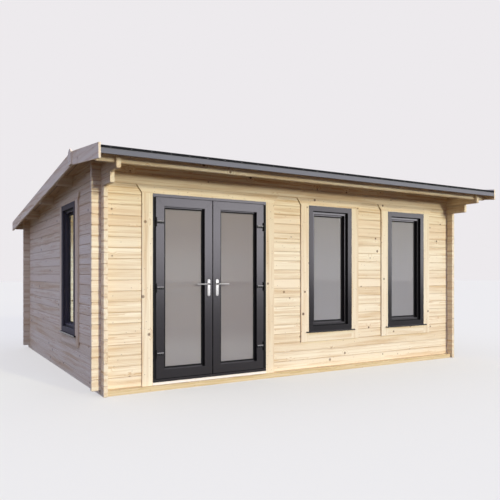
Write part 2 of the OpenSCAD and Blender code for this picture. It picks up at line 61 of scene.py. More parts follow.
class Tone:
    """A value or colour that changes over a surface: one output in a finish's nodes."""

    def __init__(self, tree, output):
        self.tree = tree
        self.output = output

    def node(self, kind, sockets=None, out=0, **settings):
        """Adds any node, with its settings first and then its sockets' values or links."""
        made = self.tree.nodes.new("ShaderNode" + kind)
        for key, value in settings.items():
            setattr(made, key, value)
        for key, value in (sockets or {}).items():
            if isinstance(value, Tone):
                self.tree.links.new(value.output, made.inputs[key])
            else:
                made.inputs[key].default_value = value
        return Tone(self.tree, made.outputs[out])

    def math(self, operation, first, second=0.0):
        return self.node("Math", {0: first, 1: second}, operation=operation)

    def __add__(self, other): return self.math("ADD", self, other)
    def __radd__(self, other): return self.math("ADD", other, self)
    def __sub__(self, other): return self.math("SUBTRACT", self, other)
    def __rsub__(self, other): return self.math("SUBTRACT", other, self)
    def __mul__(self, other): return self.math("MULTIPLY", self, other)
    def __rmul__(self, other): return self.math("MULTIPLY", other, self)
    def __truediv__(self, other): return self.math("DIVIDE", self, other)
    def __pow__(self, other): return self.math("POWER", self, other)
    def __gt__(self, other): return self.math("GREATER_THAN", self, other)
    def __lt__(self, other): return self.math("LESS_THAN", self, other)
    def __abs__(self): return self.math("ABSOLUTE", self)

    def split(self):
        """The three parts of a place or colour."""
        made = self.node("SeparateXYZ", {0: self}).output.node
        return [Tone(self.tree, output) for output in made.outputs]

    def rise(self, low, high):
        """From 0 at low to 1 at high, with soft ends."""
        return self.node("MapRange", {"Value": self, "From Min": low, "From Max": high},
                         interpolation_type="SMOOTHSTEP")

    def tint(self, where_none, where_full):
        """One colour where this is 0 and another where it is 1."""
        return self.node("Mix", {0: self, 6: where_none, 7: where_full}, out=2, data_type="RGBA")

    def into(self, shader, socket):
        self.tree.links.new(self.output, shader.inputs[socket])


def seen(tree):
    """1 for what the camera sees, also in a mirror or through glass, and 0 for light on things."""
    rays = tree.nodes.new("ShaderNodeLightPath").outputs
    camera_ray = Tone(tree, rays["Is Camera Ray"])
    glossy_ray = Tone(tree, rays["Is Glossy Ray"])
    glass_ray = Tone(tree, rays["Is Transmission Ray"])
    return glass_ray.math("MAXIMUM", camera_ray.math("MAXIMUM", camera_ray, glossy_ray), glass_ray)


SURROUND = shade(237, 234, 237)
FLOOR_SIZE = 160.0
FLOOR_GLOW = 0.52
FLOOR_PAINT = (0.78, 0.74, 0.52, 1.0)
FLOOR_BOUNCE = (0.075, 0.05, 0.035, 1.0)
FLOOR_PALE = (0.99, 0.975, 0.99, 1.0)
SKY_LOW = 0.08
SKY_HIGH = 1.15
SKY_TINT = (0.89, 0.96, 1.56, 1.0)

bpy.context.scene.view_settings.view_transform = "Standard"

sky = bpy.data.worlds.new("surround")
bpy.context.scene.world = sky
sky.use_nodes = True
sky_tree = sky.node_tree
sky_light = sky_tree.nodes["Background"]
sky_light.inputs["Color"].default_value = SKY_TINT
sky_up = Tone(sky_tree, sky_tree.nodes.new("ShaderNodeTexCoord").outputs["Generated"]).split()[2]
sky_up.node("MapRange", {"Value": sky_up, "To Min": SKY_LOW, "To Max": SKY_LOW + SKY_HIGH}).into(
    sky_light, "Strength")
sky_seen = seen(sky_tree)
sky_seen.node("MixShader", {"Fac": sky_seen, 1: Tone(sky_tree, sky_light.outputs[0]),
                            2: sky_seen.node("Background", {"Color": SURROUND})}).into(
    sky_tree.nodes["World Output"], "Surface")

bpy.ops.mesh.primitive_plane_add(size=FLOOR_SIZE, location=(0, 0, 0))
studio_floor = bpy.context.object
studio_floor.name = "studio_floor"
floor_paint = bpy.data.materials.new("studio_floor")
floor_paint.use_nodes = True
floor_tree = floor_paint.node_tree
floor_lit = floor_tree.nodes["Principled BSDF"]
floor_lit.inputs["Roughness"].default_value = 0.9
floor_lit.inputs["Specular IOR Level"].default_value = 0.0
floor_seen = seen(floor_tree)
floor_seen.tint(FLOOR_BOUNCE, FLOOR_PAINT).into(floor_lit, "Base Color")
floor_seen.node("MixShader", {"Fac": floor_seen * FLOOR_GLOW,
                              1: Tone(floor_tree, floor_lit.outputs[0]),
                              2: floor_seen.node("Emission", {"Color": FLOOR_PALE})}).into(
    floor_tree.nodes["Material Output"], "Surface")
studio_floor.data.materials.append(floor_paint)

LAMP_RIGHT = math.radians(15)
LAMP_WARM = (1.0, 0.965, 0.80)
for name, up, spread, energy in (("low_lamp", 4.5, 6.0, 1.3), ("front_lamp", 16.5, 3.0, 1.25)):
    bpy.ops.object.light_add(type="SUN",
                             rotation=(math.pi / 2 - math.radians(up), 0, LAMP_RIGHT))
    lamp = bpy.context.object
    lamp.name = name
    lamp.data.energy = energy
    lamp.data.color = LAMP_WARM
    lamp.data.angle = math.radians(spread)
    lamp.visible_glossy = False


def soft_box(name, spot, turn, wide, tall, energy):
    bpy.ops.object.light_add(type="AREA", location=spot, rotation=turn)
    made = bpy.context.object
    made.name = name
    made.data.shape = "RECTANGLE"
    made.data.size = wide
    made.data.size_y = tall
    made.data.energy = energy
    return made


# Glossy surfaces show the box on the front right, and it gives no other light.
SHEEN_FROM = math.radians(31)
SHEEN_AWAY = 14.0
SHEEN_UP = 3.1
sheen_lamp = soft_box("sheen_lamp", (SHEEN_AWAY * math.sin(SHEEN_FROM),
                                     -SHEEN_AWAY * math.cos(SHEEN_FROM), SHEEN_UP),
                      (math.pi / 2, 0, SHEEN_FROM), 13.0, 4.2, 1000)
sheen_lamp.visible_diffuse = False

ROOM_COOL = (0.54, 0.74, 1.0)
room_lamp = soft_box("room_lamp", (-0.6, 0.2, 2.02), (0, 0, 0), 3.6, 2.6, 105)
room_lamp.data.color = ROOM_COOL
room_lamp.visible_glossy = False

bpy.ops.object.camera_add(location=(-4.2803, -7.7786, 1.271),
                          rotation=(math.pi / 2, 0, -0.535))
camera = bpy.context.object
camera.data.sensor_width = 36
camera.data.lens = 40.05
camera.data.shift_x = 0.0039
camera.data.shift_y = 0.0461
bpy.context.scene.camera = camera


# BEARERS AND JOISTS
# Sawn softwood, pressure treated, so it is yellower than the walls. Bearers lie on the ground
# under the front and back walls and along the inside of the side walls, and the joists between
# them carry the floor.

def new_finish(name):
    """A finish with its shader, and the place of each point in the part's frame."""
    material = bpy.data.materials.new(name)
    material.use_nodes = True
    tree = material.node_tree
    place = Tone(tree, tree.nodes.new("ShaderNodeTexCoord").outputs["Object"])
    return material, tree.nodes["Principled BSDF"], place


def timber(name, along, row, heart, light, line, knot, joint_shade_and_dirt=None, turned_over=None):
    """Softwood whose grain runs along one axis. row is the axis, start and width of its boards;
    heart is the third axis, and the middle of the boards on it. The argument after knot says how
    much the joints darken, and to what tone: dirt, and painted shade in the V of each joint. Over
    a height, the grain may be turned."""
    material, shader, place = new_finish(name)
    axes = dict(zip("xyz", place.split()))
    axes["x+y"] = axes["x"] + axes["y"]
    run, face = axes[along], axes[row[0]]
    if turned_over:
        turned = (axes["z"] > turned_over) * (face - run)
        run, face = run + turned, face - turned
    level = (face - row[1]) / row[2]
    board = level.math("FLOOR", level)
    within = (level - board - 0.5) * row[2]
    depth = axes[heart[0]] - heart[1] if heart else run * 0.0
    chance = board.node("TexWhiteNoise", {"W": board}, out="Color", noise_dimensions="1D").split()

    # Branches cross the board as knots, and the growth rings flow round them.
    branch_at = run.node("CombineXYZ", {0: run + chance[0] * 9.0, 1: board * 3.71 + within})
    branches = run.node("TexVoronoi", {"Vector": branch_at, "Scale": 2.5}, out="Distance",
                        voronoi_dimensions="2D")
    branch_luck = Tone(run.tree, branches.output.node.outputs["Color"]).split()
    from_branch = branches / 2.5
    branch_size = 0.003 + 0.011 * branch_luck[0]
    heartwood = (from_branch - branch_size).rise(0.0025, -0.0025)
    rim = (from_branch - branch_size).rise(0.010, -0.001)
    flow = from_branch.rise(0.075, 0.0)
    twig_at = run.node("CombineXYZ", {0: run + chance[1] * 5.0, 1: board * 1.93 + within})
    twigs = run.node("TexVoronoi", {"Vector": twig_at, "Scale": 5.5}, out="Distance",
                     voronoi_dimensions="2D")
    twig = (twigs / 5.5).rise(0.0055, 0.002)

    # Growth rings round a heart that lies off the board's middle, drawn out along the grain.
    rings_at = run.node("CombineXYZ", {
        0: run * 0.05 + chance[1] * 11.0,
        1: depth + (chance[0] - 0.5) * 0.16 + flow * 0.018,
        2: within + (chance[2] - 0.5) * 0.12 - flow * 0.012})
    rings = run.node("TexWave", {"Vector": rings_at, "Scale": 34.0, "Distortion": 3.5,
                                 "Detail": 2.0, "Detail Scale": 1.6}, out="Fac",
                     wave_type="RINGS", rings_direction="X", wave_profile="SAW")
    late_wood = rings ** 3.0
    fibre_at = run.node("CombineXYZ", {0: run * 7.0, 1: depth * 420.0, 2: within * 420.0})
    fibres = run.node("TexNoise", {"Vector": fibre_at, "Scale": 1.0, "Detail": 2.0}, out="Fac")
    streak_at = run.node("CombineXYZ", {0: run * 1.1 + chance[2] * 7.0, 1: depth * 24.0,
                                        2: within * 24.0 + board})
    streaks = run.node("TexNoise", {"Vector": streak_at, "Scale": 1.0, "Detail": 3.0}, out="Fac")

    grain = late_wood * 0.55 + streaks.rise(0.42, 0.75) * 0.45 + fibres * 0.12
    colour = (grain + (chance[2] - 0.5) * 0.22).tint(light, line)
    colour = (chance[1].rise(0.55, 1.0) * 0.35).tint(colour, knot_blush(light))
    colour = (rim * 0.55).tint(colour, knot)
    dark_heart = tuple(0.45 * part for part in knot[:3]) + (1.0,)
    colour = (heartwood * (0.35 + 0.6 * branch_luck[1])).tint(colour, dark_heart)
    colour = (twig * 0.75).tint(colour, knot)
    # Near each joint the wood darkens: dirt, and painted shade in the V.
    if joint_shade_and_dirt:
        edge = abs(within).rise(0.5 * row[2] - 0.011, 0.5 * row[2] - 0.001)
        colour = (edge * joint_shade_and_dirt[0]).tint(colour, joint_shade_and_dirt[1])
    colour.into(shader, "Base Color")
    (0.52 + 0.2 * fibres + 0.1 * late_wood).into(shader, "Roughness")
    relief = late_wood * 0.4 + fibres * 0.5 - heartwood * 0.4
    relief.node("Bump", {"Height": relief, "Strength": 0.35, "Distance": 0.0012}).into(
        shader, "Normal")
    shader.inputs["Specular IOR Level"].default_value = 0.3
    return material


def knot_blush(light):
    """The pinker tone that some logs have."""
    return (light[0] * 0.97, light[1] * 0.86, light[2] * 0.80, 1.0)


def dress(material, *nodes):
    for node in nodes:
        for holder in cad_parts[node].material_slots:
            holder.material = material


TREATED = shade(233, 211, 168)
TREATED_LINE = shade(204, 176, 120)
KNOT = shade(122, 84, 54)
side_run = timber("bearers_front_to_back", "y", ("x", -2.75, 0.5), ("z", 0.02),
                  TREATED, TREATED_LINE, KNOT)
cross_run = timber("bearers_left_to_right", "x", ("z", -0.2, 0.5), ("y", -2.05),
                   TREATED, TREATED_LINE, KNOT)
dress(side_run, "side_bearers", "floor_joists")
dress(cross_run, "cross_bearers")


# FLOOR
# Tongued and grooved pine boards nailed across the joists, with their edges eased.
# They run from the left wall to the right one.

def slab(name, low, high, ease, segments=2):
    """A sawn piece between two corners, with its edges eased."""
    low, high = Vector(low), Vector(high)
    bpy.ops.mesh.primitive_cube_add(size=1, location=(low + high) / 2, scale=high - low)
    made = bpy.context.object
    made.name = name
    bpy.ops.object.transform_apply(location=True, rotation=True, scale=True)
    if ease:
        bpy.ops.object.mode_set(mode="EDIT")
        bpy.ops.mesh.select_all(action="SELECT")
        bpy.ops.mesh.bevel(offset=ease, segments=segments, affect="EDGES")
        bpy.ops.object.mode_set(mode="OBJECT")
    return made


def repeat(piece, count, step):
    """A row of copies of a piece, as one piece."""
    row = piece.modifiers.new("row", "ARRAY")
    row.count = count
    row.use_relative_offset = False
    row.use_constant_offset = True
    row.constant_offset_displace = step
    bpy.context.view_layer.objects.active = piece
    bpy.ops.object.modifier_apply(modifier="row")


def fit(piece, body, material):
    """Gives a finished piece its finish and the body that it moves with."""
    piece.data.materials.clear()
    piece.data.materials.append(material)
    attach(piece, body)
    piece.select_set(False)


FLOOR_BOARDS = 37
PINE = shade(251, 240, 213)
PINE_LINE = shade(207, 171, 119)
floor_low, floor_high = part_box("floor")
floor_board_w = (floor_high.y - floor_low.y) / FLOOR_BOARDS
floor_boards = slab("floor_boards", floor_low,
                    (floor_high.x, floor_low.y + floor_board_w, floor_high.z), 0.0016)
repeat(floor_boards, FLOOR_BOARDS, (0, floor_board_w, 0))
# The floor boards' joints darken with dirt and with painted shade in the V.
fit(floor_boards, "cabin",
    timber("floor_boards", "x", ("y", floor_low.y, floor_board_w), ("z", 0.06),
           PINE, PINE_LINE, KNOT, (0.5, shade(120, 88, 60))))
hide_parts("floor")


# LOG WALLS
# Planed pine logs, 44 mm thick, stacked in courses of 114 mm with a V at each joint. The side
# walls stand on the ground, and the front and back walls on their bearers. At the corners the
# logs of two walls are notched into each other and run on as short stubs.

COURSE = 0.114
FRONT_JOINT = 0.055
SIDE_JOINT = FRONT_JOINT + COURSE / 2
# The log joints darken with dirt and with painted shade in the V.
JOINT_SHADE_AND_DIRT = (0.28, shade(160, 120, 82))
for name, along, joint, through, nodes in (
        ("front_logs", "x", FRONT_JOINT, "y",
         ("front_wall_lower_logs", "front_wall_left_pier", "front_wall_middle_pier",
          "front_wall_window_pier", "front_wall_right_pier", "front_wall_head_logs",
          "front_wall_top_logs")),
        ("back_logs", "x", FRONT_JOINT, "y", ("back_wall",)),
        ("left_logs", "y", SIDE_JOINT, "x",
         ("left_wall_lower_logs", "left_wall_front_part", "left_wall_back_part",
          "left_wall_upper_logs")),
        ("right_logs", "y", SIDE_JOINT, "x", ("right_wall",))):
    low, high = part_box(nodes[0])
    middle = (low + high) / 2
    heart = (through, middle["xyz".index(through)])
    dress(timber(name, along, ("z", joint, COURSE), heart, PINE, PINE_LINE, KNOT, JOINT_SHADE_AND_DIRT),
          *nodes)


# EAVES BEAMS AND PURLINS
# Planed pine beams that lie across the house on the side walls and stand out past them.
# Their tops are planed to the slope, and the roof boards are nailed to them.

beam_pine = timber("roof_beams", "x", ("z", 0.0, 5.0), ("y", 0.0), PINE, PINE_LINE, KNOT)
dress(beam_pine, "front_eaves_beam", "back_eaves_beam", "purlins")


# ROOF BOARDS
# Tongued and grooved boards from the ridge down to both eaves, with a V at each joint below.
# The undersides show in the overhangs and in the room.

def pick(piece, test):
    """Opens a piece for editing, with the points that pass a test selected."""
    bpy.context.view_layer.objects.active = piece
    bpy.ops.object.mode_set(mode="EDIT")
    bpy.ops.mesh.select_mode(type="VERT")
    bpy.ops.mesh.select_all(action="DESELECT")
    bpy.ops.object.mode_set(mode="OBJECT")
    for point in piece.data.vertices:
        point.select = test(point.co)
    bpy.ops.object.mode_set(mode="EDIT")


def lay(piece, rows):
    """Lifts each row of a level piece's points, so that the piece follows the slope."""
    for row_y, lift in rows:
        pick(piece, lambda point: abs(point.y - row_y) < 0.001)
        bpy.ops.transform.translate(value=(0, 0, lift))
        bpy.ops.object.mode_set(mode="OBJECT")


ROOF_BOARDS = 50
# The roof boards' pine is darker than the walls', partly as painted shade for their undersides in
# the overhangs; their joints darken with dirt and painted shade in the V.
ROOF_PINE_AND_SHADE = shade(217, 193, 158)
ROOF_PINE_AND_SHADE_LINE = shade(200, 166, 120)
ROOF_BOARD_T = 0.0201
ROOF_BOARD_V = 0.003
roof_low, roof_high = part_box("roof_boards_front")
roof_pine_and_shade = timber("roof_boards", "y", ("x", roof_low.x, 2 * roof_high.x / ROOF_BOARDS),
                   ("z", 2.3), ROOF_PINE_AND_SHADE, ROOF_PINE_AND_SHADE_LINE, KNOT, (0.6, shade(112, 80, 54)))
for side in ("front", "back"):
    low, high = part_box("roof_boards_" + side)
    plank_w = (high.x - low.x) / ROOF_BOARDS
    planks = slab(side + "_roof_planks", (low.x, low.y, high.z - ROOF_BOARD_T),
                  (low.x + plank_w, high.y, high.z), 0)
    lay(planks, [(low.y if side == "front" else high.y, low.z - high.z + ROOF_BOARD_T)])
    bpy.ops.object.mode_set(mode="EDIT")
    bpy.ops.mesh.select_all(action="SELECT")
    bpy.ops.mesh.bevel(offset=ROOF_BOARD_V, segments=1, affect="EDGES")
    bpy.ops.object.mode_set(mode="OBJECT")
    repeat(planks, ROOF_BOARDS, (plank_w, 0, 0))
    fit(planks, "cabin", roof_pine_and_shade)
    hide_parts("roof_boards_" + side)


# ROOFING FELT
# Mineral felt in strips a metre wide, laid from the eaves up, each over the one below, with a
# cap strip on the ridge. Broad-headed nails hold the laps, and the edges turn down at the eaves.

def mineral_felt():
    material, shader, place = new_finish("mineral_felt")
    grit = place.node("TexVoronoi", {"Vector": place, "Scale": 620.0}, out="Color").split()
    patches = place.node("TexNoise", {"Vector": place, "Scale": 2.2, "Detail": 4.0}, out="Fac")
    grains = grit[0] * 0.75 + patches * 0.4
    grains.tint((0.003, 0.003, 0.0035, 1.0), (0.022, 0.022, 0.024, 1.0)).into(shader, "Base Color")
    (0.78 + 0.18 * grit[1]).into(shader, "Roughness")
    place.node("Bump", {"Height": grit[2], "Strength": 0.6, "Distance": 0.0012}).into(
        shader, "Normal")
    shader.inputs["Specular IOR Level"].default_value = 0.15
    return material


def galvanised():
    material, shader, place = new_finish("galvanised_steel")
    spangle = place.node("TexVoronoi", {"Vector": place, "Scale": 900.0}, out="Color").split()
    spangle[0].tint((0.06, 0.06, 0.062, 1.0), (0.15, 0.15, 0.155, 1.0)).into(shader, "Base Color")
    (0.45 + 0.2 * spangle[1]).into(shader, "Roughness")
    shader.inputs["Metallic"].default_value = 0.6
    return material


def join(name, pieces):
    """Makes one piece of several."""
    bpy.ops.object.select_all(action="DESELECT")
    for piece in pieces:
        piece.select_set(True)
    bpy.context.view_layer.objects.active = pieces[0]
    bpy.ops.object.join()
    pieces[0].name = name
    return pieces[0]


def pick_faces(piece, test):
    """Opens a piece for editing, with the faces that pass a test selected."""
    bpy.context.view_layer.objects.active = piece
    bpy.ops.object.mode_set(mode="EDIT")
    bpy.ops.mesh.select_mode(type="FACE")
    bpy.ops.mesh.select_all(action="DESELECT")
    bpy.ops.object.mode_set(mode="OBJECT")
    for face in piece.data.polygons:
        face.select = test(face)
    bpy.ops.object.mode_set(mode="EDIT")


def disc(name, radius, height, sides, spot=(0, 0, 0)):
    """A short round bar that stands out to the front from its spot."""
    bpy.ops.mesh.primitive_cylinder_add(vertices=sides, radius=radius, depth=height,
                                        rotation=(math.pi / 2, 0, 0),
                                        location=Vector(spot) - Vector((0, height / 2, 0)))
    made = bpy.context.object
    made.name = name
    bpy.ops.object.transform_apply(location=True, rotation=True, scale=True)
    return made


def nail_head(radius, height):
    """A domed nail head that faces the front."""
    made = disc("nail", radius, height, 8)
    pick_faces(made, lambda face: face.normal.y < -0.9)
    bpy.ops.mesh.inset(thickness=0.45 * radius, depth=0.4 * height)
    bpy.ops.object.mode_set(mode="OBJECT")
    return made


def scatter(name, model, places):
    """Copies of a small model at several places, each turned, as one piece."""
    copies = []
    for spot, turn in places:
        copy = model.copy()
        copy.data = model.data.copy()
        copy.data.transform(Matrix.Translation(spot) @ turn)
        bpy.context.collection.objects.link(copy)
        copies.append(copy)
    bpy.data.objects.remove(model)
    return join(name, copies)


FACING_FRONT = Matrix.Identity(4)
FACING_BACK = Matrix.Rotation(math.pi, 4, "Z")
FACING_LEFT = Matrix.Rotation(-math.pi / 2, 4, "Z")
FACING_RIGHT = Matrix.Rotation(math.pi / 2, 4, "Z")
FELT_STRIP = 1.0
FELT_LAP = 0.09
FELT_T = 0.0026
CAP_HALF = 0.17
NAIL_STEP = 0.1
NAIL_EDGE = 0.03
NAIL_DROP = 0.011
FELT_IN = 0.002
BED = 0.0003
over_lap = FELT_T + 2 * BED
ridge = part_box("felt_front")[1]
felt_x = ridge.x - FELT_IN
front_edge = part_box("felt_front")[0].y
back_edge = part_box("felt_back")[1].y
felt_finish = mineral_felt()
nail_steel = galvanised()
dress(felt_finish, "felt_front", "felt_back")


def roof_slope(y):
    """Rise of the roof towards the ridge, at a place between the eaves."""
    low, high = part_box("roof_boards_front" if y < ridge.y else "roof_boards_back")
    return (high.z - ROOF_BOARD_T - low.z) / (high.y - low.y)


def felt_top(y):
    return ridge.z - roof_slope(y) * abs(y - ridge.y)


strips = []
nail_rows = []
for edge, way in ((front_edge, 1), (back_edge, -1)):
    start, lift = edge + way * FELT_IN, BED
    while way * (ridge.y - start) > CAP_HALF:
        end = start + way * min(FELT_STRIP, way * (ridge.y - start))
        strip = slab("strip", (-felt_x, min(start, end), 0), (felt_x, max(start, end), FELT_T), 0)
        lay(strip, ((start, felt_top(start) + lift), (end, felt_top(end) + BED)))
        strips.append(strip)
        nail_rows.append((start + way * NAIL_EDGE, lift))
        start, lift = start + way * (FELT_STRIP - FELT_LAP), over_lap
    nail_rows.append((ridge.y - way * (CAP_HALF - NAIL_EDGE), over_lap))
felt_strips = join("felt_strips", strips)
fit(felt_strips, "cabin", felt_finish)

ridge_cap = slab("ridge_cap", (-felt_x, ridge.y - CAP_HALF, 0),
                 (felt_x, ridge.y + CAP_HALF, FELT_T), 0)
bpy.ops.object.mode_set(mode="EDIT")
bpy.ops.mesh.select_all(action="SELECT")
bpy.ops.mesh.bisect(plane_co=(0, ridge.y, 0), plane_no=(0, 1, 0))
bpy.ops.object.mode_set(mode="OBJECT")
lay(ridge_cap, [(y, felt_top(y) + over_lap)
                for y in (ridge.y - CAP_HALF, ridge.y, ridge.y + CAP_HALF)])
fit(ridge_cap, "cabin", felt_finish)

places = []
for y, lift in nail_rows:
    lean = math.copysign(math.atan(roof_slope(y)), ridge.y - y) - math.pi / 2
    for k in range(int(2 * felt_x / NAIL_STEP)):
        places.append(((NAIL_STEP * (k + 0.4) - felt_x, y, felt_top(y) + lift + FELT_T),
                       Matrix.Rotation(lean, 4, "X")))
for k in range(int(felt_x / NAIL_STEP)):
    x = NAIL_STEP * (2 * k + 0.9) - felt_x
    places.append(((x, front_edge, felt_top(front_edge) - NAIL_DROP), FACING_FRONT))
    places.append(((x, back_edge, felt_top(back_edge) - NAIL_DROP), FACING_BACK))
felt_nails = scatter("felt_nails", nail_head(0.0055, 0.0012), places)
fit(felt_nails, "cabin", nail_steel)


# FASCIAS
# Boards finished in grey behind the turned-down felt, nailed to the ends of the roof boards.

def grey_paint():
    material, shader, place = new_finish("grey_fascia")
    across, depth, up = place.split()
    brush_at = across.node("CombineXYZ", {0: across * 5.0, 1: depth * 40.0, 2: up * 260.0})
    brush = across.node("TexNoise", {"Vector": brush_at, "Scale": 1.0, "Detail": 3.0}, out="Fac")
    cloud = across.node("TexNoise", {"Vector": place, "Scale": 3.0, "Detail": 2.0}, out="Fac")
    (brush * 0.6 + cloud * 0.4).tint(shade(106, 107, 112), shade(127, 128, 133)).into(
        shader, "Base Color")
    (0.42 + 0.2 * brush).into(shader, "Roughness")
    shader.inputs["Specular IOR Level"].default_value = 0.2
    brush.node("Bump", {"Height": brush, "Strength": 0.2, "Distance": 0.0006}).into(
        shader, "Normal")
    return material


def screw_head(radius, height):
    """A round screw head with a recess, that faces the front."""
    made = disc("screw", radius, height, 10)
    pick_faces(made, lambda face: face.normal.y < -0.9)
    bpy.ops.mesh.inset(thickness=0.22 * radius, depth=0.5 * height)
    bpy.ops.mesh.inset(thickness=0.36 * radius, depth=0.0)
    bpy.ops.mesh.inset(thickness=0.04 * radius, depth=-0.9 * height)
    bpy.ops.object.mode_set(mode="OBJECT")
    return made


FASCIA_SCREWS = 9
FASCIA_SCREW_UP = 0.022
fascia_finish = grey_paint()
dress(fascia_finish, "front_fascia", "back_fascia")
places = []
for node, facing in (("front_fascia", FACING_FRONT), ("back_fascia", FACING_BACK)):
    low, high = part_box(node)
    face_y = low.y if facing is FACING_FRONT else high.y
    for k in range(FASCIA_SCREWS):
        x = low.x + (high.x - low.x) * (k + 0.5) / FASCIA_SCREWS
        places.append(((x, face_y, low.z + FASCIA_SCREW_UP), facing))
fascia_screws = scatter("fascia_screws", screw_head(0.0042, 0.001), places)
fit(fascia_screws, "cabin", fascia_finish)


# BARGE BOARDS
# Planed pine boards that close the ends of the roof, screwed to the beams' ends and standing a
# little above the felt. A pointed cover hides the joint at each gable.

gable_pine = timber("barge_boards", "y", ("z", 1.9, 1.0), ("x", 0.0), PINE, PINE_LINE, KNOT)
cover_pine = timber("apex_covers", "z", ("y", -2.1, 1.0), ("x", 0.0), PINE, PINE_LINE, KNOT)
dress(gable_pine, "barge_boards_front", "barge_boards_back")
dress(cover_pine, "apex_covers")

BARGE_H = 0.146
BARGE_SCREW_UP = 0.034
COVER_SCREW_UP = 0.04
COVER_SCREW_OUT = 0.036
PURLIN_ROWS = (-0.8105, 0.2895, 1.3895)
barge_low, barge_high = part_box("barge_boards_front")
apex_low, apex_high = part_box("apex_covers")
timber_rows = [sum(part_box(node)[end].y for end in (0, 1)) / 2
               for node in ("front_eaves_beam", "back_eaves_beam")] + list(PURLIN_ROWS)
places = []
for face_x, apex_x, facing in ((barge_low.x, apex_low.x, FACING_LEFT),
                               (barge_high.x, apex_high.x, FACING_RIGHT)):
    for y in timber_rows:
        middle = barge_high.z - roof_slope(y) * abs(y - ridge.y) - BARGE_H / 2
        for step in (-BARGE_SCREW_UP, BARGE_SCREW_UP):
            places.append(((face_x, y, middle + step), facing))
    for y in (ridge.y - COVER_SCREW_OUT, ridge.y + COVER_SCREW_OUT):
        for step in (-COVER_SCREW_UP, COVER_SCREW_UP):
            places.append(((apex_x, y, barge_high.z - BARGE_H / 2 + step), facing))
gable_screws = scatter("gable_screws", screw_head(0.0046, 0.0011), places)
fit(gable_screws, "cabin", nail_steel)


# BOARDS ROUND THE OPENINGS
# Planed pine boards nailed to the logs beside and over each opening, with slanted ends on the
# boards above, and a short board below each window.

LINTEL_H = 0.088
upright_pine = timber("upright_boards", "z", ("x+y", -5.25, 0.7), None, PINE, PINE_LINE, KNOT,
                      turned_over=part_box("door_surround")[1].z - LINTEL_H)
level_pine = timber("level_boards", "x+y", ("z", 0.3, 0.9), None, PINE, PINE_LINE, KNOT)
dress(upright_pine, "door_surround", "window_side_boards")
dress(level_pine, "window_lintels", "window_aprons")

SURROUND_W = 0.12
SURROUND_T = 0.02
APRON_H = 0.129
BOARD_NAIL_STEP = 0.4
BOARD_NAIL_IN = 0.03
LINTEL_NAIL_IN = 0.022
places = []
for node in ("door_frame", "near_window_frame", "far_window_frame", "side_window_frame"):
    low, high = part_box(node)
    side = node.startswith("side")
    middle = (low + high) / 2
    half = (high.y - low.y if side else high.x - low.x) / 2
    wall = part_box("left_wall_lower_logs")[0].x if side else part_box("front_wall_lower_logs")[0].y
    foot = FRONT_JOINT if node == "door_frame" else low.z - APRON_H
    spots = []
    rows = round((high.z - foot) / BOARD_NAIL_STEP)
    for k in range(rows):
        z = foot + (high.z - foot) * (k + 0.5) / rows
        for way in (-1, 1):
            for step in (BOARD_NAIL_IN, SURROUND_W - BOARD_NAIL_IN):
                spots.append((way * (half + step), z))
    columns = round(2 * half / BOARD_NAIL_STEP) + 2
    for k in range(columns):
        across = (half + SURROUND_W) * (2 * (k + 0.5) / columns - 1)
        for step in (LINTEL_NAIL_IN, LINTEL_H - LINTEL_NAIL_IN):
            spots.append((across, high.z + step))
    for across, z in spots:
        if side:
            places.append(((wall - SURROUND_T, middle.y + across, z), FACING_LEFT))
        else:
            places.append(((middle.x + across, wall - SURROUND_T, z), FACING_FRONT))
board_nails = scatter("board_nails", nail_head(0.0026, 0.0005), places)
fit(board_nails, "cabin", nail_steel)


# THRESHOLD
# A pale weather bar under the door frame, planed to shed water and painted.

def pale_paint():
    material, shader, place = new_finish("pale_paint")
    across, depth, up = place.split()
    brush_at = across.node("CombineXYZ", {0: across * 6.0, 1: depth * 90.0, 2: up * 300.0})
    brush = across.node("TexNoise", {"Vector": brush_at, "Scale": 1.0, "Detail": 3.0}, out="Fac")
    scuff = across.node("TexNoise", {"Vector": place, "Scale": 14.0, "Detail": 4.0}, out="Fac")
    colour = (brush * 0.5 + scuff * 0.5).tint(shade(226, 219, 207), shade(247, 242, 234))
    (scuff.rise(0.62, 0.8) * 0.3).tint(colour, shade(176, 163, 146)).into(shader, "Base Color")
    (0.4 + 0.2 * brush).into(shader, "Roughness")
    brush.node("Bump", {"Height": brush, "Strength": 0.2, "Distance": 0.0006}).into(
        shader, "Normal")
    return material


dress(pale_paint(), "threshold")


# WINDOW AND DOOR FRAMES
# Hollow plastic profiles with a fine-grained anthracite foil, cut to a mitre and welded at the
# corners. The sashes sit back in the frames, and a bead holds the glass. The side window is
# always in shade: its foil is more matt, and its colour is a tone lighter as painted light.

ANTHRACITE = shade(14, 12, 12)
ANTHRACITE_WORN = shade(24, 22, 23)
SIDE_FOIL_PAINTED_LIGHT = shade(82, 77, 80)
SIDE_FOIL_PAINTED_LIGHT_WORN = shade(96, 91, 94)
FOIL_SHEEN = (0.96, 0.92, 1.0, 1.0)
SASH_GLOSS = 0.5
FRAME_GLOSS = 0.28
SIDE_GLOSS = 0.004


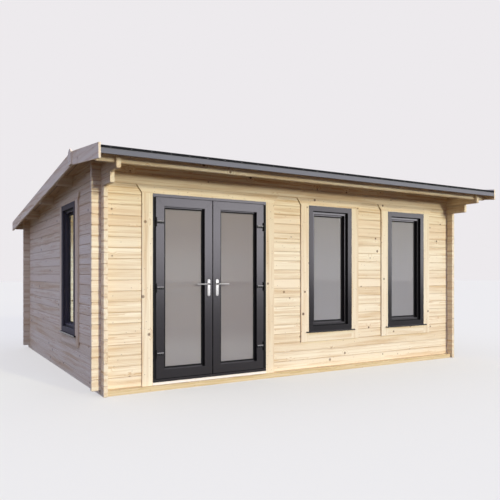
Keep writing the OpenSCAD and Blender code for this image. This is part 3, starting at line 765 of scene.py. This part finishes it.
def foil(name, across=None, gloss=SASH_GLOSS, dark=ANTHRACITE, light=ANTHRACITE_WORN):
    """Anthracite foil; a four-sided frame of that name has a weld line at each corner."""
    material, shader, place = new_finish(name)
    weld = 0.0
    if across:
        low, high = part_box(name)
        axes = dict(zip("xyz", place.split()))
        axis = "xyz".index(across)
        side = abs(axes[across] - (low[axis] + high[axis]) / 2) - (high[axis] - low[axis]) / 2
        end = abs(axes["z"] - (low.z + high.z) / 2) - (high.z - low.z) / 2
        weld = abs(side - end).rise(0.0011, 0.0003)
    grain_at = place.node("VectorMath", {0: place, 1: (600.0, 600.0, 90.0)}, operation="MULTIPLY")
    grain = place.node("TexNoise", {"Vector": grain_at, "Scale": 1.0, "Detail": 2.0}, out="Fac")
    cloud = place.node("TexNoise", {"Vector": place, "Scale": 4.0, "Detail": 3.0}, out="Fac")
    colour = (grain * 0.5 + cloud * 0.5).tint(dark, light)
    if across:
        colour = (weld * 0.7).tint(colour, (0.002, 0.002, 0.002, 1.0))
    colour.into(shader, "Base Color")
    (0.17 + 0.06 * grain + 0.05 * cloud).into(shader, "Roughness")
    shader.inputs["Specular IOR Level"].default_value = gloss
    shader.inputs["Specular Tint"].default_value = FOIL_SHEEN
    relief = grain * 0.3 - weld
    relief.node("Bump", {"Height": relief, "Strength": 0.25, "Distance": 0.0008}).into(
        shader, "Normal")
    return material


for node, across in (("near_window_frame", "x"), ("far_window_frame", "x"),
                     ("side_window_frame", "y"), ("near_window_sash", "x"),
                     ("far_window_sash", "x"), ("side_window_sash", "y"), ("door_frame", "x"),
                     ("left_door", "x"), ("right_door", "x")):
    # The side window's foil colour is a tone lighter, as painted light on a window in shade.
    if across == "y":
        dress(foil(node, across, SIDE_GLOSS, SIDE_FOIL_PAINTED_LIGHT, SIDE_FOIL_PAINTED_LIGHT_WORN), node)
    else:
        gloss = FRAME_GLOSS if node.endswith("window_frame") else SASH_GLOSS
        dress(foil(node, across, gloss), node)
dress(foil("plain_foil"), "window_sills")


# SEALS
# Black rubber: a strip in the corner round each sash, a wedge between bead and glass, and a
# flap on each jamb that closes the gap beside a door; the flaps cover nearly the whole jamb face,
# and so also paint the shade of that gap. They are pushed into grooves, not glued.

def black_rubber():
    material, shader, place = new_finish("black_rubber")
    bloom = place.node("TexNoise", {"Vector": place, "Scale": 25.0, "Detail": 4.0}, out="Fac")
    bloom.tint((0.0025, 0.0025, 0.0028, 1.0), (0.009, 0.009, 0.0095, 1.0)).into(
        shader, "Base Color")
    (0.55 + 0.3 * bloom).into(shader, "Roughness")
    place.node("Bump", {"Height": bloom, "Strength": 0.1, "Distance": 0.0004}).into(
        shader, "Normal")
    shader.inputs["Specular IOR Level"].default_value = 0.2
    return material


def ring(name, width, height, face, depth):
    """An upright ring round the origin, with its front at y = 0 and an open middle."""
    bpy.ops.mesh.primitive_plane_add(size=1, rotation=(math.pi / 2, 0, 0))
    made = bpy.context.object
    made.name = name
    made.scale = (width, height, 1)
    bpy.ops.object.transform_apply(location=True, rotation=True, scale=True)
    bpy.ops.object.mode_set(mode="EDIT")
    bpy.ops.mesh.select_mode(type="FACE")
    bpy.ops.mesh.select_all(action="SELECT")
    bpy.ops.mesh.inset(thickness=face, depth=0)
    bpy.ops.mesh.delete(type="FACE")
    bpy.ops.mesh.select_all(action="SELECT")
    bpy.ops.mesh.extrude_region_move(TRANSFORM_OT_translate={"value": (0, depth, 0)})
    bpy.ops.mesh.select_all(action="SELECT")
    bpy.ops.mesh.normals_make_consistent(inside=False)
    bpy.ops.object.mode_set(mode="OBJECT")
    return made


def put(piece, spot, turn=0.0):
    """Moves a piece from the origin to its spot, turned about the upright."""
    piece.location = spot
    piece.rotation_euler.z = turn
    bpy.ops.object.transform_apply(location=True, rotation=True, scale=True)
    return piece


SASH_EDGE = 0.050
BEAD_STEP = 0.034
DOOR_EDGE = 0.106
DOOR_BEAD_STEP = 0.036
WEDGE_W = 0.016
WEDGE_T = 0.0055
GLASS_STEP = 0.008
CORNER_W = 0.011
CORNER_T = 0.004
rubber = black_rubber()
window_seals = []
for node in ("near_window_sash", "far_window_sash", "side_window_sash"):
    low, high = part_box(node)
    side = node.startswith("side")
    wide, tall = (high.y - low.y if side else high.x - low.x), high.z - low.z
    inwards, turn = (Vector((1, 0, 0)), -math.pi / 2) if side else (Vector((0, 1, 0)), 0.0)
    front = (low + high) / 2
    front = Vector((low.x, front.y, front.z)) if side else Vector((front.x, low.y, front.z))
    window_seals.append(put(ring("corner_seal", wide, tall, CORNER_W, CORNER_T),
                            front - CORNER_T * inwards, turn))
    window_seals.append(put(ring("wedge_seal", wide - 2 * SASH_EDGE, tall - 2 * SASH_EDGE,
                                 WEDGE_W, WEDGE_T),
                            front + (BEAD_STEP + GLASS_STEP - WEDGE_T) * inwards, turn))
window_seals = join("window_seals", window_seals)
fit(window_seals, "cabin", rubber)

for side in ("left", "right"):
    low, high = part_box(side + "_door")
    seal = ring(side + "_door_seal", high.x - low.x - 2 * DOOR_EDGE, high.z - low.z - 2 * DOOR_EDGE,
                WEDGE_W, WEDGE_T)
    put(seal, ((low.x + high.x) / 2, low.y + DOOR_BEAD_STEP + GLASS_STEP - WEDGE_T,
               (low.z + high.z) / 2))
    fit(seal, side + "_leaf", rubber)

JAMB = 0.030
FLAP_AND_SHADE_W = 0.026
FLAP_AND_SHADE_T = 0.004
BARREL_HALF = 0.048
HINGE_ROOM = 0.052
frame_low, frame_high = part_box("door_frame")
leaf_low, leaf_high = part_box("left_door")
hinge_low, hinge_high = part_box("frame_hinges")
hinge_rows = [hinge_low.z + BARREL_HALF, (hinge_low.z + hinge_high.z) / 2,
              hinge_high.z - BARREL_HALF]
stops = [leaf_low.z]
for z in hinge_rows:
    stops += [z - HINGE_ROOM, z + HINGE_ROOM]
stops.append(leaf_high.z)
# The black strips on the jambs are rubber flaps, and they also paint the shade of the gap beside
# each leaf.
flap_and_shade_strips = []
for x in (frame_low.x + JAMB - FLAP_AND_SHADE_W, frame_high.x - JAMB):
    for k in range(0, len(stops), 2):
        flap_and_shade_strips.append(slab("flap", (x, frame_low.y - FLAP_AND_SHADE_T, stops[k]),
                          (x + FLAP_AND_SHADE_W, frame_low.y, stops[k + 1]), 0.0015))
jamb_flaps_and_gap_shade = join("jamb_flaps_and_gap_shade", flap_and_shade_strips)
fit(jamb_flaps_and_gap_shade, "cabin", rubber)


# GLASS
# Sealed panes of grey tinted glass, dry glazed between rubber seals. The side window's pane
# has hardly any tint.

SIDE_PANE_X = -2.3
TINT = 0.68
SIDE_TINT = 0.08


def grey_glass(name, dark, light):
    """Tinted glass, nearly clear where it lies in the side wall."""
    material, shader, place = new_finish(name)
    haze = place.node("TexNoise", {"Vector": place, "Scale": 0.9, "Detail": 2.0}, out="Fac")
    side_pane = place.split()[0] < SIDE_PANE_X
    haze.tint(dark, light).into(shader, "Base Color")
    (0.02 + 0.03 * haze).into(shader, "Roughness")
    (TINT - (TINT - SIDE_TINT) * side_pane).into(shader, "Alpha")
    shader.inputs["Specular IOR Level"].default_value = 0.1
    return material


dress(grey_glass("window_glass", shade(153, 152, 157), shade(162, 161, 166)), "window_glass")
dress(grey_glass("door_glass", shade(143, 137, 138), shade(153, 147, 148)),
      "left_door_glass", "right_door_glass")


# HINGES
# Black coated steel hinges, three to a door, with a flag on the stile and a strap on the frame,
# both screwed on. A grey strip along the upper part of each flag is a painted highlight, and a
# cap closes each barrel's end.

def black_coat():
    material, shader, place = new_finish("black_coat")
    speck = place.node("TexNoise", {"Vector": place, "Scale": 300.0, "Detail": 2.0}, out="Fac")
    speck.tint((0.004, 0.004, 0.004, 1.0), (0.012, 0.012, 0.0125, 1.0)).into(shader, "Base Color")
    (0.32 + 0.2 * speck).into(shader, "Roughness")
    place.node("Bump", {"Height": speck, "Strength": 0.15, "Distance": 0.0004}).into(
        shader, "Normal")
    shader.inputs["Specular IOR Level"].default_value = 0.12
    return material


# Grey for the painted highlight along the top of each hinge flag.
def grey_highlight_coat():
    material, shader, place = new_finish("grey_highlight_coat")
    speck = place.node("TexNoise", {"Vector": place, "Scale": 240.0, "Detail": 2.0}, out="Fac")
    speck.tint(shade(120, 118, 119), shade(168, 166, 166)).into(shader, "Base Color")
    (0.34 + 0.2 * speck).into(shader, "Roughness")
    shader.inputs["Specular IOR Level"].default_value = 0.3
    return material


BARREL_R = 0.010
CAP_H = 0.003
CAP_R = 0.0094
FLAG_BACK = 0.005
FLAG_SCREWS = (0.022, 0.05, 0.078)
FLAG_SCREW_DROP = 0.006
STRAP_SCREW_OUT = 0.0193
STRAP_SCREWS = (-0.036, 0.0, 0.036)
HIGHLIGHT_SPAN = (0.013, 0.090)
HIGHLIGHT_UP = (0.004, 0.0155)
HIGHLIGHT_T = 0.004
black_finish = black_coat()
highlight_finish = grey_highlight_coat()
dress(black_finish, "frame_hinges", "left_door_hinges", "right_door_hinges")
FACING_UP = Matrix.Rotation(-math.pi / 2, 4, "X")
FACING_DOWN = Matrix.Rotation(math.pi / 2, 4, "X")
cap_places = []
strap_places = []
for side, way in (("left", 1), ("right", -1)):
    low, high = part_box(side + "_door_hinges")
    axis_x = (low.x if way > 0 else high.x) + way * BARREL_R
    flag_y = low.y + BARREL_R + FLAG_BACK
    flag_places = []
    covers = []
    for z in hinge_rows:
        cap_places += [((axis_x, low.y + BARREL_R, z + BARREL_HALF), FACING_UP),
                       ((axis_x, low.y + BARREL_R, z - BARREL_HALF), FACING_DOWN)]
        strap_places += [((axis_x - way * STRAP_SCREW_OUT, flag_y, z + step), FACING_FRONT)
                         for step in STRAP_SCREWS]
        flag_places += [((axis_x + way * reach, flag_y, z - FLAG_SCREW_DROP), FACING_FRONT)
                        for reach in FLAG_SCREWS]
        # A grey strip high on each flag is a painted highlight on its top.
        ends = sorted(axis_x + way * reach for reach in HIGHLIGHT_SPAN)
        covers.append(slab("cover", (ends[0], flag_y - HIGHLIGHT_T, z + HIGHLIGHT_UP[0]),
                           (ends[1], flag_y, z + HIGHLIGHT_UP[1]), 0.0014))
    flag_screws = scatter(side + "_hinge_screws", screw_head(0.0042, 0.0011), flag_places)
    fit(flag_screws, side + "_leaf", nail_steel)
    hinge_highlight_strips = join(side + "_hinge_highlight_strips", covers)
    fit(hinge_highlight_strips, side + "_leaf", highlight_finish)
cap = disc("cap", CAP_R, CAP_H, 16)
pick_faces(cap, lambda face: face.normal.y < -0.9)
bpy.ops.mesh.bevel(offset=0.0022, segments=3, affect="EDGES")
bpy.ops.object.mode_set(mode="OBJECT")
hinge_caps = scatter("hinge_caps", cap, cap_places)
fit(hinge_caps, "cabin", black_finish)
strap_screws = scatter("strap_screws", screw_head(0.0038, 0.001), strap_places)
fit(strap_screws, "cabin", black_finish)


# HANDLES
# Satin metal levers on long plates with round ends, screwed through the stiles. Each plate has a
# collar round its lever and a lock below.

def satin_metal():
    material, shader, place = new_finish("satin_metal")
    smear = place.node("TexNoise", {"Vector": place, "Scale": 60.0, "Detail": 3.0}, out="Fac")
    smear.tint((0.36, 0.35, 0.345, 1.0), (0.46, 0.45, 0.445, 1.0)).into(shader, "Base Color")
    (0.34 + 0.12 * smear).into(shader, "Roughness")
    shader.inputs["Metallic"].default_value = 1.0
    return material


LEVER_R = 0.0078
LEVER_BEND = 0.014
LEVER_LEN = 0.150
LEVER_GAP = 0.0004
LOCK_DROP = 0.078
PLATE_SCREW_IN = 0.013
satin = satin_metal()
for side, way in (("left", -1), ("right", 1)):
    low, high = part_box(side + "_handle_plate")
    lever_low, lever_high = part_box(side + "_lever")
    x, half = (low.x + high.x) / 2, (high.x - low.x) / 2
    lever_z = (lever_low.z + lever_high.z) / 2
    lever_y = lever_low.y + (lever_high.z - lever_low.z) / 2

    plate = disc(side + "_plate", half, high.y - low.y, 30, spot=(x, high.y, high.z - half))
    pick(plate, lambda point: point.z < high.z - half)
    bpy.ops.transform.translate(value=(0, 0, low.z - high.z + 2 * half))
    bpy.ops.object.mode_set(mode="OBJECT")
    pick_faces(plate, lambda face: face.normal.y < -0.9)
    bpy.ops.mesh.bevel(offset=0.0035, segments=4, affect="EDGES")
    bpy.ops.object.mode_set(mode="OBJECT")
    bpy.ops.object.shade_smooth_by_angle(angle=math.radians(35))
    fit(plate, side + "_leaf", satin)
    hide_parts(side + "_handle_plate")

    bpy.ops.mesh.primitive_torus_add(major_radius=0.0112, minor_radius=0.0022, major_segments=32,
                                     minor_segments=8, location=(x, low.y, lever_z),
                                     rotation=(math.pi / 2, 0, 0))
    collar = bpy.context.object
    collar.name = side + "_collar"
    bpy.ops.object.transform_apply(location=True, rotation=True, scale=True)
    pick(collar, lambda point: point.y < low.y - 0.001)
    bpy.ops.transform.translate(value=(0, -0.0012, 0))
    bpy.ops.object.mode_set(mode="OBJECT")
    bpy.ops.object.shade_smooth()
    fit(collar, side + "_leaf", satin)

    lock = disc(side + "_lock", 0.0088, 0.003, 24, spot=(x, low.y, lever_z - LOCK_DROP))
    pick_faces(lock, lambda face: face.normal.y < -0.9)
    bpy.ops.mesh.bevel(offset=0.0008, segments=2, affect="EDGES")
    bpy.ops.object.mode_set(mode="OBJECT")
    pick_faces(lock, lambda face: face.normal.y < -0.99 and face.area > 0.0001)
    bpy.ops.mesh.inset(thickness=0.0035, depth=0)
    bpy.ops.transform.resize(value=(0.22, 1, 1))
    bpy.ops.mesh.inset(thickness=0.0002, depth=-0.0022)
    bpy.ops.object.mode_set(mode="OBJECT")
    fit(lock, side + "_leaf", satin)

    plate_screws = scatter(side + "_plate_screws", screw_head(0.0038, 0.0012),
                           [((x, low.y, z), FACING_FRONT)
                            for z in (high.z - PLATE_SCREW_IN, low.z + PLATE_SCREW_IN)])
    fit(plate_screws, side + "_leaf", nail_steel)

    bpy.ops.mesh.primitive_circle_add(vertices=20, radius=LEVER_R, fill_type="NGON",
                                      location=(x, low.y - LEVER_GAP, lever_z),
                                      rotation=(math.pi / 2, 0, 0))
    lever = bpy.context.object
    lever.name = side + "_lever_bar"
    bpy.ops.object.transform_apply(location=True, rotation=True, scale=True)
    bend_y = lever_y + LEVER_BEND
    bpy.ops.object.mode_set(mode="EDIT")
    bpy.ops.mesh.select_all(action="SELECT")
    bpy.ops.mesh.extrude_region_move(TRANSFORM_OT_translate={
        "value": (0, bend_y - low.y + LEVER_GAP, 0)})
    bpy.ops.mesh.spin(steps=8, angle=way * math.pi / 2, axis=(0, 0, 1),
                      center=(x + way * LEVER_BEND, bend_y, lever_z))
    for share, squeeze in ((0.25, (1, 0.82, 1.04)), (0.70, (1, 0.86, 0.98)),
                           (0.03, (1, 0.86, 0.88)), (0.02, (1, 0.55, 0.6))):
        reach = way * (LEVER_LEN - LEVER_BEND) * share
        bpy.ops.mesh.extrude_region_move(TRANSFORM_OT_translate={"value": (reach, 0, 0)})
        bpy.ops.transform.resize(value=squeeze)
    bpy.ops.mesh.select_all(action="SELECT")
    bpy.ops.mesh.remove_doubles(threshold=0.00005)
    bpy.ops.mesh.normals_make_consistent(inside=False)
    bpy.ops.object.mode_set(mode="OBJECT")
    bpy.ops.object.shade_smooth_by_angle(angle=math.radians(40))
    fit(lever, side + "_handle", satin)
    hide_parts(side + "_lever")
